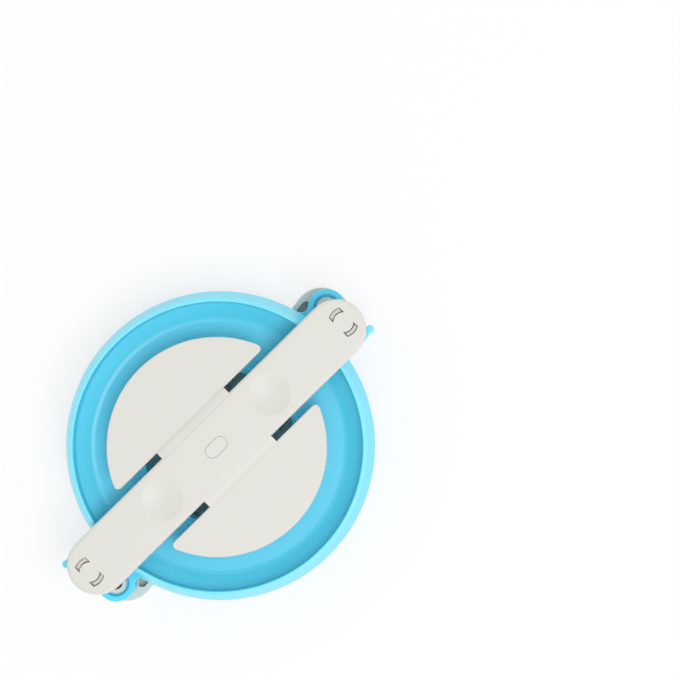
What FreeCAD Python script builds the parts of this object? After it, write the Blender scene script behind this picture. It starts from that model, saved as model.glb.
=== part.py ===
# Pom pom maker, large size: two frames face to face on a centre pin, each with two half-ring arms
# that swing out on hinge pins at the ends of its bar. Millimetres, +Z up, standing on the face of
# the bottom bar, centred on the axis of the centre pin. X runs along the top bar.
import FreeCAD, Part

import math
import os

import Sketcher
from FreeCAD import Vector

SIZES = [
    # the two halves
    ("half_height", 14.0, "seam to the face of a bar"),
    ("seam_gap", 1.2, "opening between the two halves, where the scissors run"),
    ("twist_angle", 8.0, "turn of the bottom half against the top half, degrees"),
    # clearances
    ("running_clearance", 0.05, "round a turning pin"),
    ("end_clearance", 0.3, "between faces that pass each other"),
    # bar of the frame
    ("bar_width", 16.8, "width of the bar, full round at its ends"),
    ("bar_overhang", 5.6, "hinge axis to the tip of the bar"),
    ("bar_depth", 3.6, "height of the bar's side wall"),
    ("bar_roof", 1.8, "thickness of the bar over its tray"),
    ("bar_side_wall", 1.5, "thickness of the bar's side wall"),
    ("bar_bevel", 0.7, "bevel round the bar's face"),
    ("rib_thickness", 1.2, "ribs and gussets in the tray"),
    ("first_rib", 11.0, "centre of the frame to its first rib"),
    ("rib_count", 4, "ribs in each end of the tray"),
    # cheeks of the frame
    ("cheek_radius", 30.7, "outer radius of the half-disc cheeks"),
    ("cheek_thickness", 1.6, "wall of the cheeks"),
    ("cheek_drop", 1.0, "face of the cheeks below the face of the bar"),
    ("slot_width", 2.1, "slot between cheek and bar"),
    ("bridge_length", 26.0, "where the cheek joins the bar, between the slots"),
    ("cheek_corner_radius", 1.7, "corners of the cheeks"),
    # finger dimples
    ("dimple_offset", 20.9, "centre of the frame to a finger dimple"),
    ("dimple_radius", 6.1, "rim of a dimple"),
    ("dimple_floor_radius", 3.6, "flat floor of a dimple"),
    ("dimple_depth", 0.8, "depth of a dimple"),
    # centre joint
    ("hub_radius", 5.2, "hub of the frame, and collar of the centre pin"),
    ("spigot_radius", 3.0, "centre pin"),
    ("spigot_length", 7.5, "collar to the end of the centre pin"),
    ("spigot_slit", 0.9, "slit that lets the ends of the centre pin spring"),
    ("spigot_slit_depth", 5.0, "depth of that slit"),
    ("gusset_reach", 10.0, "length of the gussets beside the hub"),
    ("gusset_height", 6.0, "height of the gussets on the hub"),
    # hinges
    ("seat_radius", 5.6, "seat of the hinge pin, left solid in the tray"),
    ("tray_reach", 2.5, "hinge axis in to the end of the tray, beside the seat"),
    ("pin_radius", 2.6, "hinge pin"),
    ("pin_wall", 0.7, "wall of the hinge pin"),
    ("pin_barb", 0.45, "barb round the free end of the hinge pin"),
    ("pin_barb_length", 1.0, "length of that barb"),
    ("pin_slit", 1.0, "slit that lets the free end spring"),
    ("pin_slit_depth", 5.0, "depth of that slit"),
    ("head_thickness", 1.0, "head of the hinge pin, under the bar"),
    ("tongue_radius", 3.0, "hinge axis to the inner side of a tongue"),
    ("tongue_wall", 0.85, "wall of the tongues on the head"),
    ("tongue_barb", 0.15, "barb at the end of a tongue"),
    ("tongue_drop", 0.3, "end of a tongue below the face of the bar"),
    ("window_width", 3.9, "width of a window for a tongue, between its straight ends"),
    ("window_gap", 0.2, "round a tongue in its window"),
    ("window_mouth_depth", 1.1, "face of the bar to the ledge in a window"),
    # arms
    ("rim_radius", 44.0, "outer radius of an arm at the seam"),
    ("arm_wall", 1.5, "wall of an arm"),
    ("hinge_reach", 5.5, "rim of an arm out to its hinge axis"),
    ("crest_inset", 2.3, "rim in to the outer edge of the crest"),
    ("crest_width", 1.1, "flat top of the crest"),
    ("crest_drop", 0.8, "top of the crest below the rim of the bar"),
    ("crest_foot_height", 5.2, "seam to the foot of the crest"),
    ("crease_inset", 8.0, "rim in to where the floor of the channel starts to rise"),
    ("floor_height", 2.8, "seam to the floor of the channel"),
    ("arm_inner_radius", 21.5, "inner radius of an arm"),
    ("inner_lip_width", 1.8, "width of the lip on the inner edge"),
    ("inner_lip_rise", 1.0, "height of that lip over the floor"),
    ("arm_end_angle", 0.5, "each end of an arm short of the centre line, degrees"),
    ("eye_foot_height", 1.3, "seam to the foot of the hinge eye"),
    ("eye_wall", 1.62, "wall of the hinge eye round its ledge"),
    ("ledge_width", 1.1, "ledge in the eye that the barb of its pin catches"),
    ("ledge_depth", 1.3, "face of the eye to that ledge"),
    ("neck_root", 0.7, "neck of the eye sunk into the crest"),
    ("neck_fillet", 1.9, "hollow between the rim and the eye"),
    ("neck_drop", 1.6, "top of the neck below the rim of the bar"),
    # finger tabs
    ("tab_bend", 24.0, "radius of the finger tab's curve"),
    ("tab_wall", 1.4, "thickness of the finger tab"),
    ("tab_root_back", 8.6, "hinge axis back to the root of the tab"),
    ("tab_root_side", 6.8, "hinge axis out to the root of the tab"),
    ("tab_tip_ahead", 4.0, "hinge axis ahead to the tip of the tab"),
    ("tab_tip_side", 6.4, "hinge axis out to the tip of the tab"),
    ("tab_drop", 1.2, "top of the tab below the rim of the bar"),
    ("tab_bead_radius", 1.1, "bead at the tip of the tab"),
]


# ---------------------------------------------------------------- sizes and their formulas


class Size:
    """A number together with its formula on the sheet."""

    def __init__(self, value, text):
        self.value = value
        self.text = text

    def join(self, sign, value, other, swapped=False):
        pair = (self.text, other.text if isinstance(other, Size) else repr(other))
        left, right = reversed(pair) if swapped else pair
        return Size(value, f"({left} {sign} {right})")

    def __add__(self, other):
        return self.join("+", self.value + number(other), other)

    def __sub__(self, other):
        return self.join("-", self.value - number(other), other)

    def __rsub__(self, other):
        return self.join("-", number(other) - self.value, other, swapped=True)

    def __mul__(self, other):
        return self.join("*", self.value * number(other), other)

    def __truediv__(self, other):
        return self.join("/", self.value / number(other), other)

    def __neg__(self):
        return self * -1


def number(size):
    return size.value if isinstance(size, Size) else size


def root_of(size):
    return Size(math.sqrt(size.value), f"sqrt({size.text})")


def sine(angle):
    return Size(math.sin(math.radians(angle.value)), f"sin({angle.text})")


class Sheet:
    """The spreadsheet of sizes; each alias reads as an attribute."""

    def __init__(self, document):
        cells = document.addObject("Spreadsheet::Sheet", "Sizes")
        for row, (alias, value, meaning) in enumerate(SIZES, start=1):
            cells.set(f"A{row}", meaning)
            cells.set(f"B{row}", str(value))
            cells.setAlias(f"B{row}", alias)
            setattr(self, alias, Size(value, f"Sizes.{alias}"))
        document.recompute()


doc = FreeCAD.newDocument("PomPomMaker")
s = Sheet(doc)

HALF_GAP = s.seam_gap / 2
HINGE_X = s.rim_radius + s.hinge_reach
BAR_RIM = s.half_height - s.bar_depth
TRAY_ROOF = s.half_height - s.bar_roof


# ---------------------------------------------------------------- sketches and features


def bind(feature, path, size):
    feature.setExpression(path, size.text if isinstance(size, Size) else repr(size))


def new_body(label):
    body = doc.addObject("PartDesign::Body", label)
    body.Label = label
    body.AllowCompound = True
    return body


def origin_feature(body, role):
    return next(feature for feature in body.Origin.OriginFeatures if feature.Role == role)


def new_sketch(body, name, plane="XY_Plane", height=0.0):
    """A sketch on one of the body's own planes, raised by height."""
    sketch = body.newObject("Sketcher::SketchObject", name)
    sketch.AttachmentSupport = [(origin_feature(body, plane), "")]
    sketch.MapMode = "FlatFace"
    bind(sketch, "AttachmentOffset.Base.z", height)
    return sketch


def hold(sketch, kind, size, *place):
    index = sketch.addConstraint(Sketcher.Constraint(kind, *place, number(size)))
    bind(sketch, f"Constraints[{index}]", size)


def hold_point(sketch, element, end, point):
    hold(sketch, "DistanceX", point[0], -1, 1, element, end)
    hold(sketch, "DistanceY", point[1], -1, 1, element, end)


def draw_circle(sketch, centre, radius):
    at = Vector(number(centre[0]), number(centre[1]), 0)
    circle = sketch.addGeometry(Part.Circle(at, Vector(0, 0, 1), number(radius)))
    hold_point(sketch, circle, 3, centre)
    hold(sketch, "Radius", radius, circle)


def arc_middle(start, end, radius, turn):
    """Middle point of an arc of up to half a turn that runs from start to end; turn is 1 where
    the way bends to the left and -1 where it bends to the right."""
    chord = end - start
    rise = radius - math.sqrt(max(radius ** 2 - (chord.Length / 2) ** 2, 0.0))
    outward = Vector(chord.y, -chord.x, 0).normalize() * turn
    return start + chord / 2 + outward * rise


def draw_outline(sketch, *steps):
    """A closed outline. A step is a point (x, y), reached by a straight line, or
    (x, y, radius, turn), reached by an arc that bends to the left (1) or to the right (-1)."""
    points = [Vector(number(step[0]), number(step[1]), 0) for step in steps]
    elements = []
    for index, step in enumerate(steps):
        start, end = points[index - 1], points[index]
        if len(step) == 2:
            element = sketch.addGeometry(Part.LineSegment(start, end))
        else:
            middle = arc_middle(start, end, number(step[2]), step[3])
            element = sketch.addGeometry(Part.Arc(start, middle, end))
        # An arc in a sketch runs anticlockwise, so one that bends right has its ends swapped.
        swapped = not sketch.getPoint(element, 1).isEqual(start, 1e-6)
        elements.append((element, 2 if swapped else 1, 1 if swapped else 2))
    for index, step in enumerate(steps):
        element, _, end = elements[index]
        following, start, _ = elements[(index + 1) % len(steps)]
        sketch.addConstraint(Sketcher.Constraint("Coincident", element, end, following, start))
        hold_point(sketch, element, end, step)
        if len(step) == 4:
            hold(sketch, "Radius", step[2], element)


def draw_stadium(sketch, half_length, radius):
    """An outline along X with full round ends; half_length reaches the centres of the ends."""
    tip = half_length + radius
    draw_outline(
        sketch,
        (-half_length, -radius, radius, 1),
        (half_length, -radius),
        (tip, 0, radius, 1),
        (half_length, radius, radius, 1),
        (-half_length, radius),
        (-tip, 0, radius, 1),
    )


def draw_ring_piece(sketch, centre_x, side, inner, outer, width):
    """A piece of a ring round (centre_x, 0), centred on +Y (side 1) or -Y (side -1), between
    two straight ends."""
    half = width / 2 * side
    inner_y = root_of(inner * inner - half * half) * side
    outer_y = root_of(outer * outer - half * half) * side
    draw_outline(
        sketch,
        (centre_x - half, inner_y),
        (half + centre_x, inner_y, inner, -1),
        (half + centre_x, outer_y),
        (centre_x - half, outer_y, outer, 1),
    )


def require_sound(feature):
    if {"Invalid", "Error"} & set(feature.State):
        raise RuntimeError(f"{feature.Name} failed: {feature.State}")
    return feature


def settle(feature):
    doc.recompute()
    return require_sound(feature)


def add(kind, body, name, sketch, **settings):
    """A feature of a body made from a sketch; sizes are bound to the sheet."""
    feature = body.newObject(f"PartDesign::{kind}", name)
    feature.Profile = sketch
    for key, value in settings.items():
        if isinstance(value, Size):
            bind(feature, key, value)
        else:
            setattr(feature, key, value)
    return settle(feature)


def pad(body, name, sketch, length, **settings):
    return add("Pad", body, name, sketch, Length=length, **settings)


def cut(kind, body, name, sketch, **settings):
    """A pocket or groove, which has to take material away."""
    before = body.Shape.Volume
    feature = add(kind, body, name, sketch, **settings)
    if feature.Shape.Volume > before - 1e-6:
        raise RuntimeError(f"{name} cuts nothing")
    return feature


def pocket(body, name, sketch, depth, **settings):
    return cut("Pocket", body, name, sketch, Length=depth, **settings)


def bevel_top_edges(body, name, size, height):
    """Bevel the edges of the body so far that lie level at one height."""
    base = body.Tip
    names = [
        f"Edge{n}" for n, edge in enumerate(base.Shape.Edges, start=1)
        if min(vertex.Z for vertex in edge.Vertexes) > height.value - 1e-4
    ]
    bevel = body.newObject("PartDesign::Chamfer", name)
    bevel.Base = (base, names)
    bind(bevel, "Size", size)
    return settle(bevel)


# ---------------------------------------------------------------- frame
# One off-white moulding: a long bar with a ribbed tray under it, a half-disc cheek on each side
# that a sloped bridge carries, a hub for the centre pin and a seat for a hinge pin at each end.

TRAY_HALF = s.bar_width / 2 - s.bar_side_wall
TRAY_END_X = HINGE_X - s.seat_radius
BAR_END_X = HINGE_X + s.bar_overhang - s.bar_width / 2
CHEEK_TOP = s.half_height - s.cheek_drop
CHEEK_EDGE = s.bar_width / 2 + s.slot_width
TONGUE_OUTER = s.tongue_radius + s.tongue_wall
BARB_OUTER = TONGUE_OUTER + s.tongue_barb
WINDOW_INNER = s.tongue_radius - s.window_gap


def add_bar(body):
    """The bar, and its tray, whose ends go round the seats of the hinge pins."""
    outline = new_sketch(body, "bar_outline", height=BAR_RIM)
    draw_stadium(outline, BAR_END_X, s.bar_width / 2)
    pad(body, "bar", outline, s.bar_depth)
    bevel_top_edges(body, "bar_bevel", s.bar_bevel, s.half_height)
    tray = new_sketch(body, "tray_outline", height=BAR_RIM)
    seat_x = HINGE_X - s.tray_reach
    seat_y = root_of(s.seat_radius * s.seat_radius - s.tray_reach * s.tray_reach)
    draw_outline(
        tray,
        (seat_x, -TRAY_HALF),
        (seat_x, -seat_y),
        (seat_x, seat_y, s.seat_radius, -1),
        (seat_x, TRAY_HALF),
        (-seat_x, TRAY_HALF),
        (-seat_x, seat_y),
        (-seat_x, -seat_y, s.seat_radius, -1),
        (-seat_x, -TRAY_HALF),
    )
    pocket(body, "tray", tray, TRAY_ROOF - BAR_RIM, Reversed=True)


def add_cheeks(body):
    """Each cheek is a segment of a disc with a straight edge beside the bar and round corners."""
    inset = s.cheek_radius - s.cheek_corner_radius
    rise = CHEEK_EDGE + s.cheek_corner_radius
    corner_x = root_of(inset * inset - rise * rise)
    rim_x = corner_x * s.cheek_radius / inset
    rim_y = rise * s.cheek_radius / inset
    outlines = new_sketch(body, "cheek_outlines", height=CHEEK_TOP - s.cheek_thickness)
    for side in (1, -1):
        draw_outline(
            outlines,
            (corner_x * side, CHEEK_EDGE * side),
            (rim_x * side, rim_y * side, s.cheek_corner_radius, 1),
            (rim_x * -side, rim_y * side, s.cheek_radius, 1),
            (corner_x * -side, CHEEK_EDGE * side, s.cheek_corner_radius, 1),
        )
    pad(body, "cheeks", outlines, s.cheek_thickness)


def add_bridges(body):
    """The stretch where each cheek joins the bar slopes from the face of one to the other."""
    sections = new_sketch(body, "bridge_sections", "YZ_Plane")
    underside = CHEEK_TOP - s.cheek_thickness
    overlap = CHEEK_EDGE + s.cheek_thickness
    for side in (1, -1):
        draw_outline(
            sections,
            (TRAY_HALF * side, underside),
            (overlap * side, underside),
            (overlap * side, CHEEK_TOP),
            (CHEEK_EDGE * side, CHEEK_TOP),
            (s.bar_width / 2 * side, s.half_height),
            (TRAY_HALF * side, s.half_height),
        )
    pad(body, "bridges", sections, s.bridge_length, SideType="Symmetric")


def add_hub(body):
    """The tube round the centre pin, with a gusset on each side along the bar."""
    outline = new_sketch(body, "hub_outline", height=HALF_GAP)
    draw_circle(outline, (0, 0), s.hub_radius)
    pad(body, "hub", outline, TRAY_ROOF - HALF_GAP)
    gussets = new_sketch(body, "gusset_outlines", "XZ_Plane")
    inner, outer = s.hub_radius - s.rib_thickness, s.hub_radius + s.gusset_reach
    for side in (1, -1):
        draw_outline(
            gussets,
            (inner * side, BAR_RIM - s.gusset_height),
            (outer * side, BAR_RIM),
            (outer * side, TRAY_ROOF),
            (inner * side, TRAY_ROOF),
        )
    pad(body, "gussets", gussets, s.rib_thickness, SideType="Symmetric")
    socket = new_sketch(body, "socket_outline", height=HALF_GAP)
    draw_circle(socket, (0, 0), s.spigot_radius + s.running_clearance)
    pocket(body, "socket", socket, s.spigot_length + s.end_clearance, Reversed=True)


def add_ribs(body):
    """Ribs across the tray, evenly spaced from the first one to the seat of the hinge pin."""
    outlines = new_sketch(body, "rib_outlines", height=BAR_RIM)
    reach = TRAY_HALF + s.bar_side_wall / 2
    pitch = (TRAY_END_X - s.first_rib) / s.rib_count
    for side in (1, -1):
        for place in range(int(s.rib_count.value)):
            near = (s.first_rib + pitch * place) * side
            far = near + s.rib_thickness * side
            draw_outline(outlines, (near, -reach), (far, -reach), (far, reach), (near, reach))
    pad(body, "ribs", outlines, TRAY_ROOF - BAR_RIM)


def add_hinge_seats(body):
    """Two curved windows over each hinge eye for the tongues of its pin. The mouth of a window
    is wider than its throat, which leaves the ledge that holds the barb."""
    throats = new_sketch(body, "window_throats", height=BAR_RIM)
    mouths = new_sketch(body, "window_mouths", height=s.half_height)
    throat_outer, mouth_outer = TONGUE_OUTER + s.running_clearance, BARB_OUTER + s.window_gap
    for end in (1, -1):
        for side in (1, -1):
            place = HINGE_X * end, side, WINDOW_INNER
            draw_ring_piece(throats, *place, throat_outer, s.window_width)
            draw_ring_piece(mouths, *place, mouth_outer, s.window_width)
    pocket(body, "windows", throats, s.bar_depth, Reversed=True)
    pocket(body, "mouths", mouths, s.window_mouth_depth)


def add_dimples(body):
    """Two finger dimples in the face of the bar, each with a sloped side and a flat floor."""
    section = new_sketch(body, "dimple_section", "XZ_Plane")
    floor = s.half_height - s.dimple_depth
    draw_outline(
        section,
        (s.dimple_offset, floor),
        (s.dimple_offset + s.dimple_floor_radius, floor),
        (s.dimple_offset + s.dimple_radius, s.half_height),
        (s.dimple_offset, s.half_height),
    )
    axis = section.addGeometry(Part.LineSegment(Vector(0, 0, 0), Vector(0, 1, 0)), True)
    hold_point(section, axis, 1, (s.dimple_offset, 0))
    hold_point(section, axis, 2, (s.dimple_offset, s.half_height))
    dimple = cut("Groove", body, "dimple", section, ReferenceAxis=(section, ["Axis0"]), Angle=360)
    pair = body.newObject("PartDesign::PolarPattern", "dimples")
    pair.Originals = [dimple]
    pair.Axis = (origin_feature(body, "Z_Axis"), [""])
    pair.Angle = 360
    pair.Occurrences = 2
    body.Tip = pair
    settle(pair)


def make_frame(label):
    body = new_body(label)
    add_bar(body)
    add_cheeks(body)
    add_bridges(body)
    add_hub(body)
    add_ribs(body)
    add_hinge_seats(body)
    add_dimples(body)
    bind(body, "Placement.Base.z", s.half_height)
    return body


# ---------------------------------------------------------------- pins
# A hinge pin is a tube with a flat head. Two barbed tongues on the head snap through the windows
# of the frame; the tube's free end is slit, and its barb holds the eye of the arm. The centre pin
# is a double spigot with a collar at the seam.

HEAD_FOOT = BAR_RIM - s.head_thickness
BARB_TOP = s.eye_foot_height + s.ledge_depth - s.end_clearance
TONGUE_END = s.half_height - s.tongue_drop


def add_tongues(body):
    """Two curved tongues on the head, each with a barb along the outer side of its end."""
    width = s.window_width - s.window_gap * 2
    barb_base = s.half_height - s.window_mouth_depth + s.running_clearance
    tongues = new_sketch(body, "tongue_outlines", height=BAR_RIM)
    barbs = new_sketch(body, "barb_outlines", height=barb_base)
    for side in (1, -1):
        draw_ring_piece(tongues, 0, side, s.tongue_radius, TONGUE_OUTER, width)
        draw_ring_piece(barbs, 0, side, TONGUE_OUTER - s.tongue_wall / 2, BARB_OUTER, width)
    pad(body, "tongues", tongues, TONGUE_END - BAR_RIM)
    pad(body, "barbs", barbs, TONGUE_END - barb_base)


def make_hinge_pin(label, end):
    body = new_body(label)
    section = new_sketch(body, "tube_section", "XZ_Plane")
    bore, barb = s.pin_radius - s.pin_wall, s.pin_radius + s.pin_barb
    tip = BARB_TOP - s.pin_barb_length
    draw_outline(
        section,
        (bore, tip),
        (s.pin_radius, tip),
        (barb, tip + s.pin_barb),
        (barb, BARB_TOP),
        (s.pin_radius, BARB_TOP),
        (s.pin_radius, HEAD_FOOT),
        (TONGUE_OUTER, HEAD_FOOT),
        (TONGUE_OUTER, BAR_RIM),
        (bore, BAR_RIM),
    )
    add("Revolution", body, "tube", section, ReferenceAxis=(section, ["V_Axis"]), Angle=360)
    slit = new_sketch(body, "pin_slit_outline", height=tip)
    half = s.pin_slit / 2
    draw_outline(slit, (-barb, -half), (barb, -half), (barb, half), (-barb, half))
    pocket(body, "pin_slit", slit, s.pin_slit_depth, Reversed=True)
    add_tongues(body)
    bind(body, "Placement.Base.x", HINGE_X * end)
    bind(body, "Placement.Base.z", s.half_height)
    return body


def make_centre_pin(label):
    body = new_body(label)
    section = new_sketch(body, "spigot_section", "XZ_Plane")
    tip = HALF_GAP + s.spigot_length
    draw_outline(
        section,
        (0, -tip),
        (s.spigot_radius, -tip),
        (s.spigot_radius, -HALF_GAP),
        (s.hub_radius, -HALF_GAP),
        (s.hub_radius, HALF_GAP),
        (s.spigot_radius, HALF_GAP),
        (s.spigot_radius, tip),
        (0, tip),
    )
    add("Revolution", body, "spigots", section, ReferenceAxis=(section, ["V_Axis"]), Angle=360)
    slits = new_sketch(body, "slit_outlines", "XZ_Plane")
    half = s.spigot_slit / 2
    for end in (1, -1):
        floor, mouth = (tip - s.spigot_slit_depth) * end, tip * end
        draw_outline(slits, (-half, floor), (half, floor), (half, mouth), (-half, mouth))
    pocket(body, "slits", slits, s.spigot_radius * 2, SideType="Symmetric")
    bind(body, "Placement.Base.z", s.half_height)
    return body


# ---------------------------------------------------------------- arms
# A half ring with a channel for the yarn between a low inner lip and a tall crest. The wall of
# the crest leans out to the rim; under it the scissors run. A tubular eye on a neck takes the
# hinge pin, and a curved finger tab at the other end passes round the far hinge.

EYE_BORE = s.pin_radius + s.running_clearance
LEDGE_RADIUS = EYE_BORE + s.ledge_width
EYE_RADIUS = LEDGE_RADIUS + s.eye_wall
EYE_TOP = HEAD_FOOT - s.end_clearance
CREST_RADIUS = s.rim_radius - s.crest_inset
CREST_TOP = BAR_RIM - s.crest_drop
ARM_END_Y = s.rim_radius * sine(s.arm_end_angle)


def add_half_ring(body):
    crest_inner = CREST_RADIUS - s.crest_width
    crease = s.rim_radius - s.crease_inset
    lip_top = s.floor_height + s.inner_lip_rise
    lip_outer = s.arm_inner_radius + s.inner_lip_width
    floor_under = s.floor_height - s.arm_wall
    groove_top = s.crest_foot_height - s.arm_wall
    lean = s.crest_inset / (CREST_TOP - HALF_GAP)
    groove_wall = s.rim_radius - s.arm_wall - lean * (groove_top - HALF_GAP)
    section = new_sketch(body, "arm_section", "YZ_Plane")
    draw_outline(
        section,
        (s.arm_inner_radius, floor_under),
        (crease, floor_under),
        (groove_wall, groove_top),
        (groove_wall, HALF_GAP),
        (s.rim_radius, HALF_GAP),
        (CREST_RADIUS, CREST_TOP),
        (crest_inner, CREST_TOP),
        (crest_inner, s.crest_foot_height),
        (crease, s.floor_height),
        (lip_outer, s.floor_height),
        (lip_outer, lip_top),
        (s.arm_inner_radius, lip_top),
    )
    sweep = (90 - s.arm_end_angle) * 2
    axis = (section, ["V_Axis"])
    add("Revolution", body, "half_ring", section, ReferenceAxis=axis, Midplane=True, Angle=sweep)


def add_hinge_eye(body):
    """The eye round the hinge axis and the neck that ties it to the crest. The neck's free side
    is one hollow arc that runs smoothly into both the rim and the eye."""
    reach_rim, reach_eye = s.rim_radius + s.neck_fillet, EYE_RADIUS + s.neck_fillet
    hollow_x = (reach_rim * reach_rim - reach_eye * reach_eye + HINGE_X * HINGE_X) / (HINGE_X * 2)
    hollow_y = root_of(reach_rim * reach_rim - hollow_x * hollow_x)
    rim_share = s.rim_radius / reach_rim
    eye_share = EYE_RADIUS / reach_eye
    root = CREST_RADIUS - s.neck_root
    root_share = root / reach_rim
    neck = new_sketch(body, "neck_outline", height=s.eye_foot_height)
    draw_outline(
        neck,
        (root, ARM_END_Y),
        (HINGE_X, ARM_END_Y),
        (HINGE_X - (HINGE_X - hollow_x) * eye_share, hollow_y * eye_share),
        (hollow_x * rim_share, hollow_y * rim_share, s.neck_fillet, -1),
        (hollow_x * root_share, hollow_y * root_share),
    )
    pad(body, "neck", neck, BAR_RIM - s.neck_drop - s.eye_foot_height)
    eye = new_sketch(body, "eye_outline", height=s.eye_foot_height)
    draw_circle(eye, (HINGE_X, 0), EYE_RADIUS)
    pad(body, "eye", eye, EYE_TOP - s.eye_foot_height)
    bore = new_sketch(body, "eye_bore", height=s.eye_foot_height)
    draw_circle(bore, (HINGE_X, 0), EYE_BORE)
    pocket(body, "bore", bore, EYE_TOP - s.eye_foot_height, Reversed=True)
    ledge = new_sketch(body, "eye_ledge", height=s.eye_foot_height)
    draw_circle(ledge, (HINGE_X, 0), LEDGE_RADIUS)
    pocket(body, "ledge", ledge, s.ledge_depth, Reversed=True)


def add_finger_tab(body):
    """A wall of even thickness along one arc, from the crest round the far hinge to its bead."""
    root = (s.tab_root_back - HINGE_X, s.tab_root_side)
    tip = (-HINGE_X - s.tab_tip_ahead, s.tab_tip_side)
    run, climb = root[0] - tip[0], root[1] - tip[1]
    chord = root_of(run * run + climb * climb)
    sag = root_of(s.tab_bend * s.tab_bend - chord * chord / 4)
    centre = (
        (root[0] + tip[0]) / 2 + climb / chord * sag,
        (root[1] + tip[1]) / 2 - run / chord * sag,
    )

    def beside(point, offset):
        share = (s.tab_bend + offset) / s.tab_bend
        return tuple(c + (p - c) * share for c, p in zip(centre, point))

    half = s.tab_wall / 2
    height = BAR_RIM - s.tab_drop - HALF_GAP
    outline = new_sketch(body, "tab_outline", height=HALF_GAP)
    draw_outline(
        outline,
        beside(root, half),
        (*beside(tip, half), s.tab_bend + half, 1),
        beside(tip, -half),
        (*beside(root, -half), s.tab_bend - half, -1),
    )
    pad(body, "tab", outline, height)
    bead = new_sketch(body, "tab_bead", height=HALF_GAP)
    draw_circle(bead, tip, s.tab_bead_radius)
    pad(body, "bead", bead, height)


def make_arm(label, turn):
    """An arm on the +Y side, hinged at +X, or the same arm turned half round."""
    body = new_body(label)
    add_half_ring(body)
    add_hinge_eye(body)
    add_finger_tab(body)
    body.Placement.Rotation = FreeCAD.Rotation(Vector(0, 0, 1), turn)
    bind(body, "Placement.Base.z", s.half_height)
    return body


# ---------------------------------------------------------------- assembly


def make_bottom(label, top):
    """The bottom half is the top half's mirror image in the seam, turned by the twist."""
    mirror = doc.addObject("Part::Mirroring", label)
    mirror.Label = label
    mirror.Source = top
    mirror.Normal = Vector(0, 0, 1)
    bind(mirror, "Base.z", s.half_height)
    bind(mirror, "Placement.Rotation.Angle", s.twist_angle)
    return settle(mirror)


def require_one_solid(piece):
    if piece.Shape.isNull() or not piece.Shape.isValid() or len(piece.Shape.Solids) != 1:
        raise RuntimeError(f"{piece.Label} is not one valid solid")


top_pieces = [
    make_frame("top_frame"),
    make_arm("top_back_arm", 0),
    make_arm("top_front_arm", 180),
    make_hinge_pin("top_right_hinge_pin", 1),
    make_hinge_pin("top_left_hinge_pin", -1),
]
bottom_pieces = [make_bottom(top.Label.replace("top", "bottom"), top) for top in top_pieces]
pieces = top_pieces + bottom_pieces + [make_centre_pin("centre_pin")]

doc.recompute()
for feature in doc.Objects:
    require_sound(feature)
for piece in pieces:
    require_one_solid(piece)

os.makedirs("parts", exist_ok=True)
for piece in pieces:
    piece.Shape.exportStep(os.path.join("parts", f"{piece.Label}.step"))
    box = piece.Shape.BoundBox
    print(f"{piece.Label}: {piece.Shape.Volume:.1f} mm3, z {box.ZMin:.2f} to {box.ZMax:.2f}")
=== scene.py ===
"""The large pom pom maker, closed, on a white table: off-white frames and sky-blue arms."""

import math

import bmesh
import bpy
from mathutils import Matrix, Vector


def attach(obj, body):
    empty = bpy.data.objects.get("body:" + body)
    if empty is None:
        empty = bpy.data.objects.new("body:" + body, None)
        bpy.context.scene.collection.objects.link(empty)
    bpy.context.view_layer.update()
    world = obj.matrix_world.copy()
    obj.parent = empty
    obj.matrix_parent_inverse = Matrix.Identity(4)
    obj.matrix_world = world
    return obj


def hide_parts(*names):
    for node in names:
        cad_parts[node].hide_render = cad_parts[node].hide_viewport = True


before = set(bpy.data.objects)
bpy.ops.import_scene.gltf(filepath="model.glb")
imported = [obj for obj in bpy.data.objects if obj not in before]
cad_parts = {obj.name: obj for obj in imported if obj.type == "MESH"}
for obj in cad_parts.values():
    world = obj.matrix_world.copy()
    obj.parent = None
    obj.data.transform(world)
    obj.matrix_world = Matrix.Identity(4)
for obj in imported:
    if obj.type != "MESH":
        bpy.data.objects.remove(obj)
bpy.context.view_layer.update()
mm = 0.001

# ------------------------------------------------------------------ frames
# Two off-white mouldings of one shape lie face to face. Each is a long bar with a shallow tray
# under it, two half-disc cheeks on sloped bridges, a hub, and a seat for a hinge pin at each end.

seam, twist = 14.0, 8.0
bar_face, bar_rim, tray_roof = 28.0, 24.4, 26.2
bar_radius, bar_end = 8.4, 46.7
tray_half, tray_end, seat_radius = 6.9, 47.7, 5.6
hinge_x = 49.5

# Points less than a hair apart are one, and cutters reach beyond the faces that they cut.
hair, beyond = 0.002, 1.0


def start_at(*place):
    """A new object in edit mode that is one vertex."""
    bpy.ops.object.select_all(action="DESELECT")
    bpy.ops.mesh.primitive_plane_add(size=mm)
    bpy.ops.object.mode_set(mode="EDIT")
    bpy.ops.mesh.merge(type="CENTER")
    bpy.ops.transform.translate(value=Vector(place) * mm)


def fill():
    bpy.ops.mesh.select_all(action="SELECT")
    bpy.ops.mesh.remove_doubles(threshold=hair * mm)
    bpy.ops.mesh.edge_face_add()


def plate(height, start, *moves):
    """A flat plate without thickness. From its first corner it goes straight to a corner (x, y),
    or round a centre (x, y, degrees), anticlockwise where degrees are above zero."""
    longest_step = 0.7
    at = Vector((*start, height))
    start_at(*at)
    for x, y, *turn in moves:
        place = Vector((x, y, height))
        if turn:
            angle = math.radians(turn[0])
            steps = max(6, round((at - place).length * abs(angle) / longest_step))
            bpy.ops.mesh.spin(steps=steps, angle=-angle, center=place * mm, axis=(0, 0, 1))
            at = place + Matrix.Rotation(angle, 3, "Z") @ (at - place)
        else:
            bpy.ops.mesh.extrude_region_move(TRANSFORM_OT_translate={"value": (place - at) * mm})
            at = place
    fill()


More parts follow.
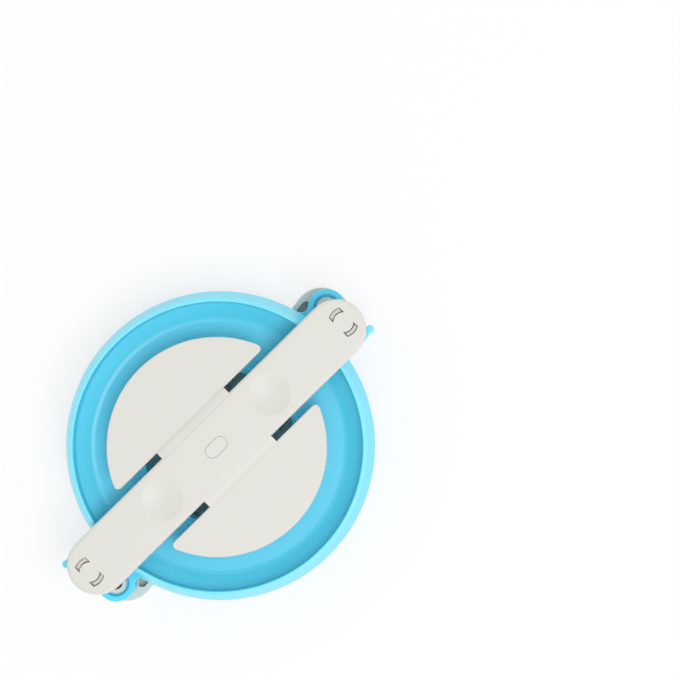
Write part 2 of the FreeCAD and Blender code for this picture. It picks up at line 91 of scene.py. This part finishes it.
def section(*corners):
    """An upright section without thickness, from its corners (x, y, z)."""
    start_at(*corners[0])
    for here, there in zip(corners, corners[1:]):
        step = Vector(there) - Vector(here)
        bpy.ops.mesh.extrude_region_move(TRANSFORM_OT_translate={"value": step * mm})
    fill()


def pick(test):
    """Select only the vertices whose place in millimetres passes the test, and what they span."""
    bpy.ops.mesh.select_mode(type="VERT")
    bpy.ops.mesh.select_all(action="DESELECT")
    shape = bmesh.from_edit_mesh(bpy.context.edit_object.data)
    for vertex in shape.verts:
        vertex.select_set(test(vertex.co / mm))
    shape.select_flush(True)
    bmesh.update_edit_mesh(bpy.context.edit_object.data)


def round_corners(radius, *corners):
    """Round corners (x, z) of an upright section."""
    pick(lambda p: any(abs(p.x - x) < 0.01 and abs(p.z - z) < 0.01 for x, z in corners))
    bpy.ops.mesh.bevel(offset=radius * mm, segments=4, affect="VERTICES")


def face_outwards():
    bpy.ops.mesh.select_all(action="SELECT")
    bpy.ops.mesh.normals_make_consistent(inside=False)


def thicken(*way):
    """Give a plate or a section its thickness."""
    bpy.ops.mesh.select_all(action="SELECT")
    bpy.ops.mesh.extrude_region_move(TRANSFORM_OT_translate={"value": Vector(way) * mm})
    face_outwards()


def round_edges(height, radius, segments=3):
    """Round the edges that lie at one height."""
    pick(lambda p: abs(p.z - height) < hair)
    bpy.ops.mesh.bevel(offset=radius * mm, segments=segments, affect="EDGES")


def turn_on_lathe(x, y=0, steps=64):
    """Spin a section a full turn round an upright axis at (x, y)."""
    pick(lambda p: abs(p.x - x) < 0.001)
    bpy.ops.mesh.delete(type="EDGE_FACE")
    bpy.ops.mesh.select_all(action="SELECT")
    bpy.ops.mesh.delete(type="ONLY_FACE")
    bpy.ops.mesh.select_all(action="SELECT")
    spot = (x * mm, y * mm, 0)
    bpy.ops.mesh.spin(steps=steps, angle=math.tau, center=spot, axis=(0, 0, 1))
    bpy.ops.mesh.select_all(action="SELECT")
    bpy.ops.mesh.remove_doubles(threshold=hair * mm)
    face_outwards()


def done(name):
    bpy.ops.object.mode_set(mode="OBJECT")
    bpy.context.object.name = name
    return bpy.context.object


def take(piece):
    bpy.ops.object.select_all(action="DESELECT")
    piece.select_set(True)
    bpy.context.view_layer.objects.active = piece


def combine(piece, operation, *others):
    """Weld other shapes to a piece (UNION) or cut them out of it (DIFFERENCE)."""
    for other in others:
        take(piece)
        bpy.ops.object.modifier_add(type="BOOLEAN")
        boolean = piece.modifiers[-1]
        boolean.operation = operation
        boolean.object = other
        bpy.ops.object.modifier_apply(modifier=boolean.name)
        bpy.data.objects.remove(other)


def turned_copy(piece, name, degrees=180):
    """A copy with its own mesh, turned about the axis of the centre pin."""
    take(piece)
    bpy.ops.object.duplicate()
    bpy.ops.object.mode_set(mode="EDIT")
    bpy.ops.mesh.select_all(action="SELECT")
    angle = -math.radians(degrees)
    bpy.ops.transform.rotate(value=angle, orient_axis="Z", center_override=(0, 0, 0))
    return done(name)


def bottom_copy(piece, name):
    """The same piece in the bottom half: mirrored in the seam, then turned by the twist."""
    copy = turned_copy(piece, name, 0)
    bpy.ops.object.mode_set(mode="EDIT")
    bpy.ops.mesh.select_all(action="SELECT")
    bpy.ops.transform.resize(value=(1, 1, -1), center_override=(0, 0, seam * mm))
    face_outwards()
    angle = -math.radians(twist)
    bpy.ops.transform.rotate(value=angle, orient_axis="Z", center_override=(0, 0, 0))
    return done(copy.name)


# The bar: a stadium with a soft edge round its face, and the tray sunk into its back, whose ends
# go round the seats of the hinge pins and are a little deeper.
def stadium(height, end, radius):
    arcs = (end, 0, 180), (-end, radius), (-end, 0, 180)
    plate(height, (-end, -radius), (end, -radius), *arcs)


soft_edge, fine_edge = 1.0, 0.3
stadium(bar_face, bar_end, bar_radius)
thicken(0, 0, bar_rim - bar_face)
round_edges(bar_face, soft_edge, segments=6)
round_edges(bar_rim, fine_edge)
top_frame = done("top_frame_moulding")
seat_half = math.sqrt(seat_radius ** 2 - (hinge_x - tray_end) ** 2)
seat_turn = -2 * math.degrees(math.asin(seat_half / seat_radius))
wall_end = tray_end - (tray_half - seat_half)
plate(
    bar_rim - beyond,
    (-wall_end, -tray_half),
    (wall_end, -tray_half),
    (wall_end, -seat_half, 90),
    (hinge_x, 0, seat_turn),
    (wall_end, seat_half, 90),
    (-wall_end, tray_half),
    (-wall_end, seat_half, 90),
    (-hinge_x, 0, seat_turn),
    (-wall_end, -seat_half, 90),
)
thicken(0, 0, tray_roof - bar_rim + beyond)
pocket, pocket_depth = 39.0, 1.2
for cut in (-pocket, 0, pocket):
    bpy.ops.mesh.select_all(action="SELECT")
    bpy.ops.mesh.bisect(plane_co=(cut * mm, 0, 0), plane_no=(1, 0, 0))
pick(lambda p: abs(p.x) > pocket - 0.01 and p.z > tray_roof - 0.01)
deeper = {"value": (0, 0, pocket_depth * mm)}
bpy.ops.mesh.extrude_region_move(TRANSFORM_OT_translate=deeper)
face_outwards()
combine(top_frame, "DIFFERENCE", done("tray"))

# The cheeks: half discs with a straight edge beside the bar and rounded corners.
cheek_face, cheek_thickness, cheek_edge = 27.0, 1.6, 10.5
cheek_radius, corner_radius = 30.7, 1.25
corner_y = cheek_edge + corner_radius
corner_x = math.sqrt((cheek_radius - corner_radius) ** 2 - corner_y ** 2)
lift = math.degrees(math.atan2(corner_y, corner_x))
plate(
    cheek_face,
    (corner_x, cheek_edge),
    (corner_x, corner_y, 90 + lift),
    (0, 0, 180 - 2 * lift),
    (-corner_x, corner_y, 90 + lift),
)
thicken(0, 0, -cheek_thickness)
round_edges(cheek_face, 0.4)
round_edges(cheek_face - cheek_thickness, fine_edge)
back_cheek = done("back_cheek")

# The bridges: each starts a little below the face of the bar and curves down to its cheek, with
# a crease at its foot.
bridge_half, bridge_end = 13.0, cheek_edge + 1.6
cheek_back = cheek_face - cheek_thickness
bridge_profile = [
    (tray_half, cheek_back), (bridge_end, cheek_back), (bridge_end, cheek_face),
    (11.3, cheek_face), (11.2, cheek_face - 0.45), (10.9, cheek_face - 0.1),
    (10.4, cheek_face + 0.35), (9.8, cheek_face + 0.65), (9.0, cheek_face + 0.78),
    (tray_half, cheek_face + 0.83),
]
section(*((-bridge_half, y, z) for y, z in bridge_profile))
thicken(2 * bridge_half, 0, 0)
back_bridge = done("back_bridge")
front_cheek = turned_copy(back_cheek, "front_cheek")
front_bridge = turned_copy(back_bridge, "front_bridge")
combine(top_frame, "UNION", back_bridge, front_bridge, back_cheek, front_cheek)

# The hub for the centre pin, its two gussets, and the ribs across the tray. All are rooted a
# little way up in the roof of the tray.
hub_foot, hub_radius, hub_bore = 14.6, 5.2, 3.05
rooted = tray_roof + 0.4
section(
    (hub_bore, 0, hub_foot),
    (hub_radius, 0, hub_foot),
    (hub_radius, 0, rooted),
    (hub_bore, 0, rooted),
)
round_corners(0.35, (hub_bore, hub_foot), (hub_radius, hub_foot))
turn_on_lathe(0)
combine(top_frame, "UNION", done("hub"))

gusset_foot, gusset_start, gusset_reach, rib_thickness = 18.4, 4.0, 15.2, 1.2
section(
    (gusset_start, -rib_thickness / 2, gusset_foot),
    (gusset_reach, -rib_thickness / 2, bar_rim),
    (gusset_reach, -rib_thickness / 2, rooted),
    (gusset_start, -rib_thickness / 2, rooted),
)
thicken(0, rib_thickness, 0)
right_gusset = done("right_gusset")
left_gusset = turned_copy(right_gusset, "left_gusset")
combine(top_frame, "UNION", right_gusset, left_gusset)

rib_count, first_rib, rib_pitch, rib_reach, rib_foot = 4, 11.0, 8.225, 7.6, bar_rim + 0.1
for rib in range(rib_count):
    near = first_rib + rib_pitch * rib
    far = near + rib_thickness
    ends = (far, -rib_reach), (far, rib_reach), (near, rib_reach)
    plate(rib_foot, (near, -rib_reach), *ends)
    thicken(0, 0, rooted - rib_foot)
    right_rib = done("right_rib")
    left_rib = turned_copy(right_rib, "left_rib")
    combine(top_frame, "UNION", right_rib, left_rib)

# The windows for the tongues of the hinge pins: a wide mouth over a narrower throat, both with
# straight ends.
def ring_piece(height, side, inner, outer, half, depth):
    """A piece of a ring beside the right hinge, on the side +Y (1) or -Y (-1), between straight
    ends, from a height down by a depth."""
    inner_sweep = 2 * math.degrees(math.asin(half / inner))
    outer_sweep = 2 * math.degrees(math.asin(half / outer))
    half *= side
    inner_y, outer_y = (side * math.sqrt(radius ** 2 - half ** 2) for radius in (inner, outer))
    plate(
        height,
        (hinge_x + half, inner_y),
        (hinge_x + half, outer_y),
        (hinge_x, 0, outer_sweep),
        (hinge_x - half, inner_y),
        (hinge_x, 0, -inner_sweep),
    )
    thicken(0, 0, -depth)


throat = {"inner": 2.83, "outer": 3.95, "half": 1.95, "depth": 5.0}
mouth = {"inner": 2.75, "outer": 4.25, "half": 2.1, "depth": 2.6}
for side in (1, -1):
    for name, window in ("throat", throat), ("mouth", mouth):
        ring_piece(bar_face + beyond, side, **window)
        right_window = done(name)
        left_window = turned_copy(right_window, name)
        combine(top_frame, "DIFFERENCE", right_window, left_window)

# Two finger dimples: shallow bowls that roll softly over into the face of the bar. The brim of
# the cutter stands just clear of the face.
dimple_x, dimple_radius, dimple_depth = 20.9, 6.1, 0.95
brim, bowl_steps, roundness = bar_face + 0.004, 14, 1.1
bowl_edge, cutter_top = dimple_x + dimple_radius, bar_face + beyond
bowl = []
for step in range(bowl_steps + 1):
    share = step / bowl_steps
    depth = dimple_depth * (1 - share ** 2) ** roundness
    bowl.append((dimple_x + dimple_radius * share, 0, brim - depth))
section(*bowl, (bowl_edge, 0, cutter_top), (dimple_x, 0, cutter_top))
turn_on_lathe(dimple_x)
right_dimple = done("right_dimple")
left_dimple = turned_copy(right_dimple, "left_dimple")
combine(top_frame, "DIFFERENCE", right_dimple, left_dimple)

# The place of the label, left bare: a fine groove in the shape of a small stadium.
label_end, label_radius, groove_width, groove_depth = 1.5, 2.1, 0.22, 0.3
stadium(bar_face - groove_depth, label_end, label_radius)
bpy.ops.mesh.inset(thickness=groove_width * mm)
bpy.ops.mesh.delete(type="FACE")
thicken(0, 0, beyond)
combine(top_frame, "DIFFERENCE", done("label_groove"))


class Value:
    """A number or a colour that varies over a surface; arithmetic on it adds Math nodes."""

    def __init__(self, finish, socket):
        self.finish = finish
        self.socket = socket

    def __add__(self, other):
        return self.finish.math("ADD", self, other)

    def __sub__(self, other):
        return self.finish.math("SUBTRACT", self, other)

    def __mul__(self, other):
        return self.finish.math("MULTIPLY", self, other)


class Finish:
    """A material whose nodes are added one by one."""

    def __init__(self, name):
        self.material = bpy.data.materials.new(name)
        self.material.use_nodes = True
        self.tree = self.material.node_tree
        self.shader = self.tree.nodes["Principled BSDF"]

    def feed(self, socket, value):
        if isinstance(value, Value):
            self.tree.links.new(value.socket, socket)
        else:
            socket.default_value = value

    def node(self, kind, settings, sockets, output=0):
        node = self.tree.nodes.new(kind)
        for name, value in settings.items():
            setattr(node, name, value)
        for name, value in sockets.items():
            self.feed(node.inputs[name], value)
        return Value(self, node.outputs[output])

    def math(self, operation, *values):
        return self.node("ShaderNodeMath", {"operation": operation}, dict(enumerate(values)))

    def noise(self, place, scale, detail=2.0, roughness=0.5):
        sockets = {"Vector": place, "Scale": scale, "Detail": detail, "Roughness": roughness}
        return self.node("ShaderNodeTexNoise", {}, sockets)

    def hairlines(self, place, angle, cutoff):
        """Fine straight scratches that all run one way; a higher cutoff shows fewer of them."""
        along, across, softness = 55, 4200, 0.03
        turn = (0, 0, math.radians(angle))
        sockets = {"Vector": place, "Rotation": turn, "Scale": (along, across, along)}
        stretched = self.node("ShaderNodeMapping", {}, sockets)
        lines = self.noise(stretched, scale=1.0, detail=1.0)
        limits = {"Value": lines, "From Min": cutoff, "From Max": cutoff + softness}
        return self.node("ShaderNodeMapRange", {}, limits)


def moulded_plastic(name, pale, deep, top_tone, roughness, grain_depth):
    """Moulded plastic with a fine spark-eroded grain, clouds of tone, and light scratches on the
    faces that lie flat. What stands more than 9 mm from the seam takes one fixed top tone: on the
    sky-blue arms a lighter one, a painted highlight on the crests; on the white an even tone."""
    mottling, unevenness, scuffing, scratch_depth, flatness = 0.8, 0.1, 0.12, 0.8, 10.0
    finish = Finish(name)
    place = finish.node("ShaderNodeTexCoord", {}, {}, output="Object")
    clouds = finish.noise(place, scale=45.0, detail=3.0)
    wear = finish.noise(place, scale=130.0)
    grain = finish.noise(place, scale=3400.0, roughness=0.6)
    one_way = finish.hairlines(place, angle=24, cutoff=0.73)
    scratches = one_way + finish.hairlines(place, angle=-51, cutoff=0.74)
    facing = finish.node("ShaderNodeTexCoord", {}, {}, output="Normal")
    level = finish.node("ShaderNodeSeparateXYZ", {}, {"Vector": facing}, output="Z")
    lies_flat = finish.math("POWER", finish.math("ABSOLUTE", level), flatness)
    worn = scratches * wear * lies_flat
    tone = finish.node(
        "ShaderNodeMix",
        {"data_type": "RGBA"},
        {0: clouds * mottling + worn * scuffing, 6: (*deep, 1), 7: (*pale, 1)},
        output=2,
    )
    # Painted highlight on the blue: what stands more than 9 mm from the seam, the tops of the
    # crests, takes the lighter top tone; on the white the top tone is even.
    height = finish.node("ShaderNodeSeparateXYZ", {}, {"Vector": place}, output="Z")
    from_seam = finish.math("ABSOLUTE", height - seam * mm)
    limits = {"Value": from_seam, "From Min": 8.5 * mm, "From Max": 9.4 * mm}
    top_share = finish.node("ShaderNodeMapRange", {}, limits)
    tone = finish.node(
        "ShaderNodeMix", {"data_type": "RGBA"}, {0: top_share, 6: tone, 7: (*top_tone, 1)}, output=2
    )
    shine = clouds * unevenness + worn * scuffing + (roughness - unevenness / 2)
    bump = finish.node(
        "ShaderNodeBump",
        {},
        {"Strength": 1.0, "Distance": grain_depth * mm, "Height": grain - worn * scratch_depth},
    )
    finish.feed(finish.shader.inputs["Base Color"], tone)
    finish.feed(finish.shader.inputs["Roughness"], shine)
    finish.feed(finish.shader.inputs["Normal"], bump)
    return finish.material


def dress(piece, node, body, material):
    """Shade a finished piece, give it its plastic, and let it stand for its node."""
    take(piece)
    bpy.ops.object.shade_smooth_by_angle(angle=math.radians(32))
    bpy.ops.object.modifier_add(type="WEIGHTED_NORMAL")
    piece.modifiers[-1].keep_sharp = True
    bpy.ops.object.modifier_apply(modifier=piece.modifiers[-1].name)
    piece.data.materials.clear()
    piece.data.materials.append(material)
    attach(piece, body)
    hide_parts(node)


white = moulded_plastic(
    "off_white_plastic",
    pale=(0.735, 0.725, 0.68),
    deep=(0.708, 0.7, 0.655),
    # The top tone of the white is even, between its pale and deep tones.
    top_tone=(0.722, 0.713, 0.667),
    roughness=0.46,
    grain_depth=0.012,
)
bottom_frame = bottom_copy(top_frame, "bottom_frame_moulding")
dress(top_frame, "top_frame", "top_half", white)
dress(bottom_frame, "bottom_frame", "bottom_half", white)

# ------------------------------------------------------------------ centre pin
# A double spigot of the same off-white plastic, turned about its collar at the seam. Both ends
# are slit so that they spring into the hubs of the two frames, and the halves turn on it.

pin_radius, collar, pin_tip, slit = 3.0, 0.6, 8.1, 0.9
section(
    (0, 0, seam - pin_tip),
    (pin_radius, 0, seam - pin_tip),
    (pin_radius, 0, seam - collar),
    (hub_radius, 0, seam - collar),
    (hub_radius, 0, seam + collar),
    (pin_radius, 0, seam + collar),
    (pin_radius, 0, seam + pin_tip),
    (0, 0, seam + pin_tip),
)
round_corners(0.5, (pin_radius, seam - pin_tip), (pin_radius, seam + pin_tip))
round_corners(0.2, (hub_radius, seam - collar), (hub_radius, seam + collar))
turn_on_lathe(0)
centre_pin = done("centre_spigot")
slit_reach, slit_depth = 4, 6
for slit_foot in (seam + 3.1, seam - pin_tip - beyond):
    ends = (slit / 2, -slit_reach), (slit / 2, slit_reach), (-slit / 2, slit_reach)
    plate(slit_foot, (-slit / 2, -slit_reach), *ends)
    thicken(0, 0, slit_depth)
    combine(centre_pin, "DIFFERENCE", done("slit"))
dress(centre_pin, "centre_pin", "centre_pin", white)

# ------------------------------------------------------------------ arms
# Four sky-blue arms of one moulding: a half ring with a channel for the yarn between a low inner
# lip and a tall crest, a tubular eye for the hinge pin at one end, a finger tab at the other.

arm_foot, dish_back, dish_floor, crest_top = 14.6, 15.3, 16.8, 23.6
lip_inner, lip_outer, lip_top = 21.5, 23.3, 17.8
crease, slope_top, crest_inner, crest_outer = 36.0, 19.2, 40.6, 41.7
rim_radius, scissors_radius, scissors_roof = 44.0, 41.708, 17.7
arm_profile = [
    (lip_inner, dish_back), (crease, dish_back), (scissors_radius, scissors_roof),
    (scissors_radius, arm_foot), (rim_radius, arm_foot), (crest_outer, crest_top),
    (crest_inner, crest_top), (crest_inner, slope_top), (crease, dish_floor),
    (lip_outer, dish_floor), (lip_outer, lip_top), (lip_inner, lip_top),
]
section(*((x, 0, z) for x, z in arm_profile))
crest_corners = (crest_outer, crest_top), (crest_inner, crest_top)
round_corners(0.3, *crest_corners, (rim_radius, arm_foot), (lip_inner, dish_back))
round_corners(0.45, (lip_inner, lip_top), (lip_outer, lip_top), (crest_inner, slope_top))
round_corners(0.25, (lip_outer, dish_floor), (scissors_radius, arm_foot))
round_corners(0.5, (crease, dish_back))
round_corners(0.9, (crease, dish_floor))
bpy.ops.mesh.select_all(action="SELECT")
short_of_half = 0.5
ring_start = -math.radians(short_of_half)
bpy.ops.transform.rotate(value=ring_start, orient_axis="Z", center_override=(0, 0, 0))
half_turn = -math.radians(180 - 2 * short_of_half)
bpy.ops.mesh.spin(steps=150, angle=half_turn, center=(0, 0, 0), axis=(0, 0, 1))
face_outwards()
top_back_arm = done("top_back_arm_moulding")

# The neck: its free side is one hollow curve, from the rim of the ring into the eye.
eye_radius, eye_foot, eye_top, neck_top, hollow_radius = 5.37, 15.3, 23.1, 22.8, 1.9
neck_root, neck_side = 41.0, 0.384
reach_rim, reach_eye = rim_radius + hollow_radius, eye_radius + hollow_radius
hollow_x = (reach_rim ** 2 - reach_eye ** 2 + hinge_x ** 2) / (2 * hinge_x)
hollow_y = math.sqrt(reach_rim ** 2 - hollow_x ** 2)
on_eye = Vector((hinge_x, 0)).lerp(Vector((hollow_x, hollow_y)), eye_radius / reach_eye)
on_rim = Vector((hollow_x, hollow_y)) * (rim_radius / reach_rim)
root = Vector((hollow_x, hollow_y)) * (neck_root / reach_rim)
leave = math.degrees(math.atan2(on_eye.y - hollow_y, on_eye.x - hollow_x))
arrive = math.degrees(math.atan2(on_rim.y - hollow_y, on_rim.x - hollow_x))
plate(
    eye_foot,
    (neck_root, neck_side),
    (hinge_x, neck_side),
    on_eye,
    (hollow_x, hollow_y, arrive - leave),
    root,
)
thicken(0, 0, neck_top - eye_foot)
round_edges(neck_top, fine_edge)
round_edges(eye_foot, fine_edge)
combine(top_back_arm, "UNION", done("neck"))

# The eye, and its bore for the hinge pin, with the recess in its face where the pin's barb sits.
section(
    (hinge_x, 0, eye_foot),
    (hinge_x + eye_radius, 0, eye_foot),
    (hinge_x + eye_radius, 0, eye_top),
    (hinge_x, 0, eye_top),
)
round_corners(fine_edge, (hinge_x + eye_radius, eye_foot), (hinge_x + eye_radius, eye_top))
turn_on_lathe(hinge_x)
combine(top_back_arm, "UNION", done("eye"))
bore, recess, ledge, lead_in = 2.65, 3.75, 16.6, 0.2
section(
    (hinge_x, 0, eye_foot - lead_in),
    (hinge_x + recess + 2 * lead_in, 0, eye_foot - lead_in),
    (hinge_x + recess, 0, eye_foot + lead_in),
    (hinge_x + recess, 0, ledge),
    (hinge_x + bore, 0, ledge),
    (hinge_x + bore, 0, eye_top - lead_in),
    (hinge_x + bore + 2 * lead_in, 0, eye_top + lead_in),
    (hinge_x, 0, eye_top + lead_in),
)
turn_on_lathe(hinge_x)
combine(top_back_arm, "DIFFERENCE", done("bore"))

# The finger tab: a thin curved wall that goes round the far hinge and ends in a bead.
tab_root, tab_tip, tab_bend, tab_half, tab_top = (-40.9, 6.8), (-53.5, 6.4), 36.0, 0.7, 23.2
bead_radius = 1.1
chord = Vector(tab_root) - Vector(tab_tip)
sag = math.sqrt(tab_bend ** 2 - chord.length_squared / 4)
middle = (Vector(tab_root) + Vector(tab_tip)) / 2
bend = middle + Vector((chord.y, -chord.x)) * (sag / chord.length)
start, end = (math.atan2(y - bend.y, x - bend.x) for x, y in (tab_root, tab_tip))
inner, outer = tab_bend - tab_half, tab_bend + tab_half
sweep = math.degrees(end - start)
plate(
    arm_foot,
    (bend.x + outer * math.cos(start), bend.y + outer * math.sin(start)),
    (bend.x, bend.y, sweep),
    (bend.x + inner * math.cos(end), bend.y + inner * math.sin(end)),
    (bend.x, bend.y, -sweep),
)
thicken(0, 0, tab_top - arm_foot)
round_edges(tab_top, 0.35)
round_edges(arm_foot, 0.25)
combine(top_back_arm, "UNION", done("tab"))
bead_x, bead_y = tab_tip
section(
    (bead_x, bead_y, arm_foot),
    (bead_x + bead_radius, bead_y, arm_foot),
    (bead_x + bead_radius, bead_y, tab_top),
    (bead_x, bead_y, tab_top),
)
round_corners(0.35, (bead_x + bead_radius, arm_foot), (bead_x + bead_radius, tab_top))
turn_on_lathe(*tab_tip, steps=24)
combine(top_back_arm, "UNION", done("bead"))

blue = moulded_plastic(
    "sky_blue_plastic",
    pale=(0.13, 0.755, 0.985),
    deep=(0.115, 0.715, 0.955),
    # The top tone of the blue is lighter: a painted highlight on the crests.
    top_tone=(0.22, 0.81, 0.96),
    roughness=0.29,
    grain_depth=0.003,
)
top_front_arm = turned_copy(top_back_arm, "top_front_arm_moulding")
bottom_back_arm = bottom_copy(top_back_arm, "bottom_back_arm_moulding")
bottom_front_arm = bottom_copy(top_front_arm, "bottom_front_arm_moulding")
dress(top_back_arm, "top_back_arm", "top_back_arm", blue)
dress(top_front_arm, "top_front_arm", "top_front_arm", blue)
dress(bottom_back_arm, "bottom_back_arm", "bottom_back_arm", blue)
dress(bottom_front_arm, "bottom_front_arm", "bottom_front_arm", blue)

# ------------------------------------------------------------------ hinge pins
# Four off-white pins of one moulding: a tube that stands in the eye of an arm, slit and barbed at
# its free end, and a flat head with two curved tongues that snap through the windows of the frame.

tube_bore, tube_radius, tube_foot = 1.9, 2.6, 15.3
barb_radius, barb_foot, barb_top = 3.05, tube_foot + 0.45, 16.3
head_radius, head_foot = 3.85, 23.4
section(
    (hinge_x + tube_bore, 0, tube_foot),
    (hinge_x + tube_radius, 0, tube_foot),
    (hinge_x + barb_radius, 0, barb_foot),
    (hinge_x + barb_radius, 0, barb_top),
    (hinge_x + tube_radius, 0, barb_top),
    (hinge_x + tube_radius, 0, head_foot),
    (hinge_x + head_radius, 0, head_foot),
    (hinge_x + head_radius, 0, bar_rim),
    (hinge_x + tube_bore, 0, bar_rim),
)
round_corners(0.15, (hinge_x + barb_radius, barb_foot), (hinge_x + head_radius, head_foot))
turn_on_lathe(hinge_x)
right_pin = done("top_right_hinge_snap")
slit_half = 0.5
plate(
    tube_foot - beyond,
    (hinge_x - slit_reach, -slit_half),
    (hinge_x + slit_reach, -slit_half),
    (hinge_x + slit_reach, slit_half),
    (hinge_x - slit_reach, slit_half),
)
thicken(0, 0, slit_depth)
combine(right_pin, "DIFFERENCE", done("slit"))
tongue_foot, tongue_top, snap_top = 24.0, 26.8, 27.0
tongue_depth = tongue_top - tongue_foot
for side in (1, -1):
    ring_piece(tongue_top, side, inner=3.03, outer=3.85, half=1.72, depth=tongue_depth)
    tongue = done("tongue")
    ring_piece(snap_top, side, inner=3.0, outer=4.0, half=1.8, depth=0.5)
    round_edges(snap_top, 0.12, segments=2)
    combine(right_pin, "UNION", tongue, done("snap"))
left_pin = turned_copy(right_pin, "top_left_hinge_snap")
bottom_right_pin = bottom_copy(right_pin, "bottom_right_hinge_snap")
bottom_left_pin = bottom_copy(left_pin, "bottom_left_hinge_snap")
dress(right_pin, "top_right_hinge_pin", "top_half", white)
dress(left_pin, "top_left_hinge_pin", "top_half", white)
dress(bottom_right_pin, "bottom_right_hinge_pin", "bottom_half", white)
dress(bottom_left_pin, "bottom_left_hinge_pin", "bottom_half", white)

# ------------------------------------------------------------------ table, light and camera
# A plain white table top in a white tent that is paler at the sides than overhead, and one round
# soft light. The table is shown whiter than it is lit, except under the tool. The camera hangs
# over the table, to the right of the tool and in front of it.

bpy.ops.object.select_all(action="DESELECT")
bpy.ops.mesh.primitive_plane_add(size=6, location=(0, 0, -0.05 * mm))
table_top = bpy.context.object
table_top.name = "table_top"
paint = Finish("white_table")
spot = paint.node("ShaderNodeTexCoord", {}, {}, output="Object")
spots = paint.noise(spot, scale=3.0)
tint = paint.node(
    "ShaderNodeMix",
    {"data_type": "RGBA"},
    {0: spots, 6: (0.95, 0.94, 0.93, 1), 7: (0.965, 0.955, 0.945, 1)},
    output=2,
)
paint.feed(paint.shader.inputs["Base Color"], tint)
paint.shader.inputs["Roughness"].default_value = 0.8
paint.shader.inputs["Specular IOR Level"].default_value = 0.1
rays = ("Is Camera Ray", "Is Glossy Ray", "Is Transmission Ray")
to_camera, to_gloss, to_glass = (paint.node("ShaderNodeLightPath", {}, {}, ray) for ray in rays)
seen = paint.math("MAXIMUM", paint.math("MAXIMUM", to_camera, to_gloss), to_glass)
bare_white = paint.node("ShaderNodeEmission", {}, {"Color": (1, 1, 1, 1), "Strength": 1.0})
lit = Value(paint, paint.shader.outputs["BSDF"])
length = {"operation": "LENGTH"}
from_middle = paint.node("ShaderNodeVectorMath", length, {0: spot}, output="Value")
beside = {"Value": from_middle, "From Min": 34 * mm, "From Max": 44 * mm}
open_table = paint.node("ShaderNodeMapRange", {}, beside)
whiteness = 0.68
glow = {0: seen * open_table * whiteness, 1: lit, 2: bare_white}
surface = paint.node("ShaderNodeMixShader", {}, glow)
paint.feed(paint.tree.nodes["Material Output"].inputs["Surface"], surface)
table_top.data.materials.append(paint.material)


class Room(Finish):
    """The room round the table, whose nodes are added as those of a material are."""

    def __init__(self, name):
        self.world = bpy.data.worlds.new(name)
        self.world.use_nodes = True
        self.tree = self.world.node_tree
        self.shader = self.tree.nodes["Background"]


room = Room("white_tent")
way = room.node("ShaderNodeTexCoord", {}, {}, output="Generated")
up = room.node("ShaderNodeSeparateXYZ", {}, {"Vector": way}, output="Z")
paleness = {"Value": up, "From Min": 0.0, "From Max": 1.0, "To Min": 1.1, "To Max": 0.52}
room.feed(room.shader.inputs["Strength"], room.node("ShaderNodeMapRange", {}, paleness))
room.shader.inputs["Color"].default_value = (1.0, 1.0, 1.0, 1)
bpy.context.scene.world = room.world

bpy.ops.object.light_add(type="AREA", location=(0.04, -0.42, 1.18))
softbox = bpy.context.object
softbox.name = "softbox"
softbox.data.shape = "DISK"
softbox.data.size = 0.7
softbox.data.energy = 6.0
softbox.rotation_euler = (-softbox.location).to_track_quat("-Z", "Y").to_euler()

bpy.ops.object.camera_add(location=(0.0498, -0.0221, 0.579), rotation=(0, 0, -math.radians(44.56)))
camera = bpy.context.object
camera.data.lens = 105
camera.data.shift_x = -0.088
camera.data.shift_y = 0.056
bpy.context.scene.camera = camera
bpy.context.scene.view_settings.view_transform = "Standard"
